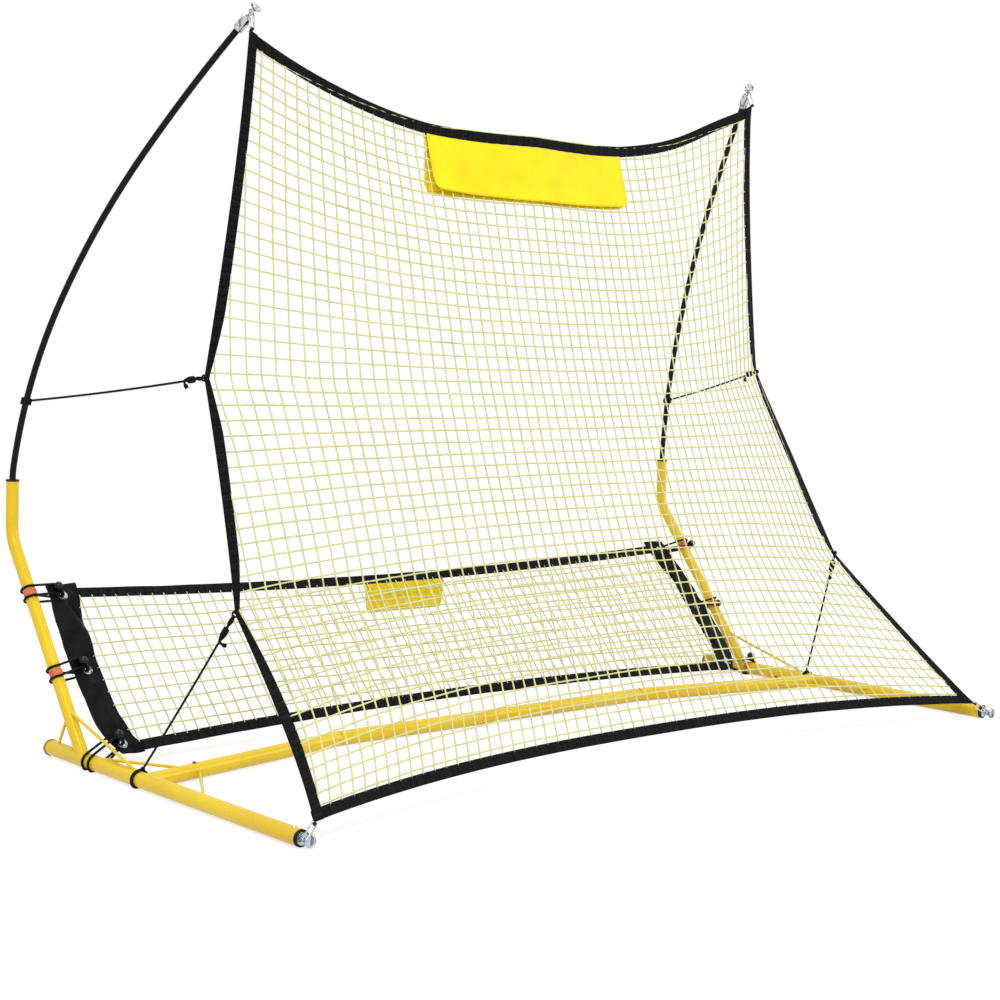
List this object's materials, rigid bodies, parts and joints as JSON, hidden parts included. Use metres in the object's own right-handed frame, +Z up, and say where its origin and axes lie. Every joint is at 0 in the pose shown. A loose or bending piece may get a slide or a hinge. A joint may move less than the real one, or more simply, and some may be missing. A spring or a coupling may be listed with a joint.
{
  "type": "pitch back rebounder",
  "caption": "Free-standing ball rebounder: a wide net sprung between two bowed poles on a tubular base, with a low sloping catch net behind it.",
  "frame": {"origin": "On the ground, in the middle of the bounding box across the width and the depth.", "axes": "+X across the width to the player's right as seen from behind the net, +Y to the rear, +Z up."},
  "size_m": [1.9363, 1.0674, 1.4462],
  "materials": {
    "yellow_steel": "smooth semi-gloss yellow powder coat over steel tube",
    "black_plastic": "moulded black plastic with a soft sheen",
    "plated_steel": "bright plated steel",
    "dark_buttons": "dark zinc finish",
    "fibreglass": "smooth black fibreglass rod",
    "black_webbing": "folded black woven binding",
    "net_cord": "pale yellow-green netting cord",
    "yellow_sheet": "coated yellow cloth",
    "black_sheet": "coated black cloth with a slight sheen",
    "elastic_cord": "braided black elastic cord",
    "black_balls": "moulded black plastic ball",
    "red_rubber": "dull red rubber"
  },
  "bodies": {
    "frame": {"base_tube_left": "yellow_steel", "base_tube_right": "yellow_steel", "upright_socket_left": "yellow_steel", "upright_socket_right": "yellow_steel", "cross_socket_left": "yellow_steel", "cross_socket_right": "yellow_steel", "brace_rods_left": "yellow_steel", "brace_rods_right": "yellow_steel", "rear_caps": "black_plastic", "front_collars": "black_plastic", "front_knobs": "plated_steel", "front_rivets": "plated_steel", "upright_left": "yellow_steel", "upright_right": "yellow_steel", "cross_tube_left": "yellow_steel", "cross_tube_middle": "yellow_steel", "cross_tube_right": "yellow_steel", "button_springs": "plated_steel", "pole_bushes": "black_plastic", "pole_left": "fibreglass", "pole_right": "fibreglass", "tip_sleeves": "plated_steel", "tip_knobs": "plated_steel", "corner_rings": "plated_steel", "corner_loops": "black_webbing", "rebound_net": "net_cord", "net_binding_top": "black_webbing", "net_binding_bottom": "black_webbing", "net_binding_left": "black_webbing", "net_binding_right": "black_webbing", "front_panel": "yellow_sheet", "back_panel": "yellow_sheet", "catch_net": "net_cord", "catch_binding_top": "black_webbing", "catch_binding_bottom": "black_webbing", "catch_end_left": "black_sheet", "catch_end_right": "black_sheet", "catch_panel": "yellow_sheet", "grommets": "plated_steel", "ball_cords": "elastic_cord", "cord_balls": "black_balls", "rubber_bands": "red_rubber", "upper_pull_cords": "elastic_cord", "lower_pull_cords": "elastic_cord", "cord_knots": "elastic_cord", "base_cord_rings": "elastic_cord"},
    "cross_snap_left": {"cross_button_left": "dark_buttons"},
    "cross_snap_right": {"cross_button_right": "dark_buttons"},
    "upright_snap_left": {"upright_button_left": "dark_buttons"},
    "upright_snap_right": {"upright_button_right": "dark_buttons"}
  },
  "joints": [
    {"name": "press_cross_button_left", "type": "slide", "parent": "frame", "child": "cross_snap_left", "axis": [0, 0, -1], "range_m": [0, 0.004], "stiffness_N_per_m": 400},
    {"name": "press_upright_button_left", "type": "slide", "parent": "frame", "child": "upright_snap_left", "axis": [-0.9999, 0, 0.0105], "range_m": [0, 0.004], "stiffness_N_per_m": 400},
    {"name": "press_cross_button_right", "type": "slide", "parent": "frame", "child": "cross_snap_right", "axis": [0, 0, -1], "range_m": [0, 0.004], "stiffness_N_per_m": 400},
    {"name": "press_upright_button_right", "type": "slide", "parent": "frame", "child": "upright_snap_right", "axis": [0.9999, 0, 0.0105], "range_m": [0, 0.004], "stiffness_N_per_m": 400}
  ]
}
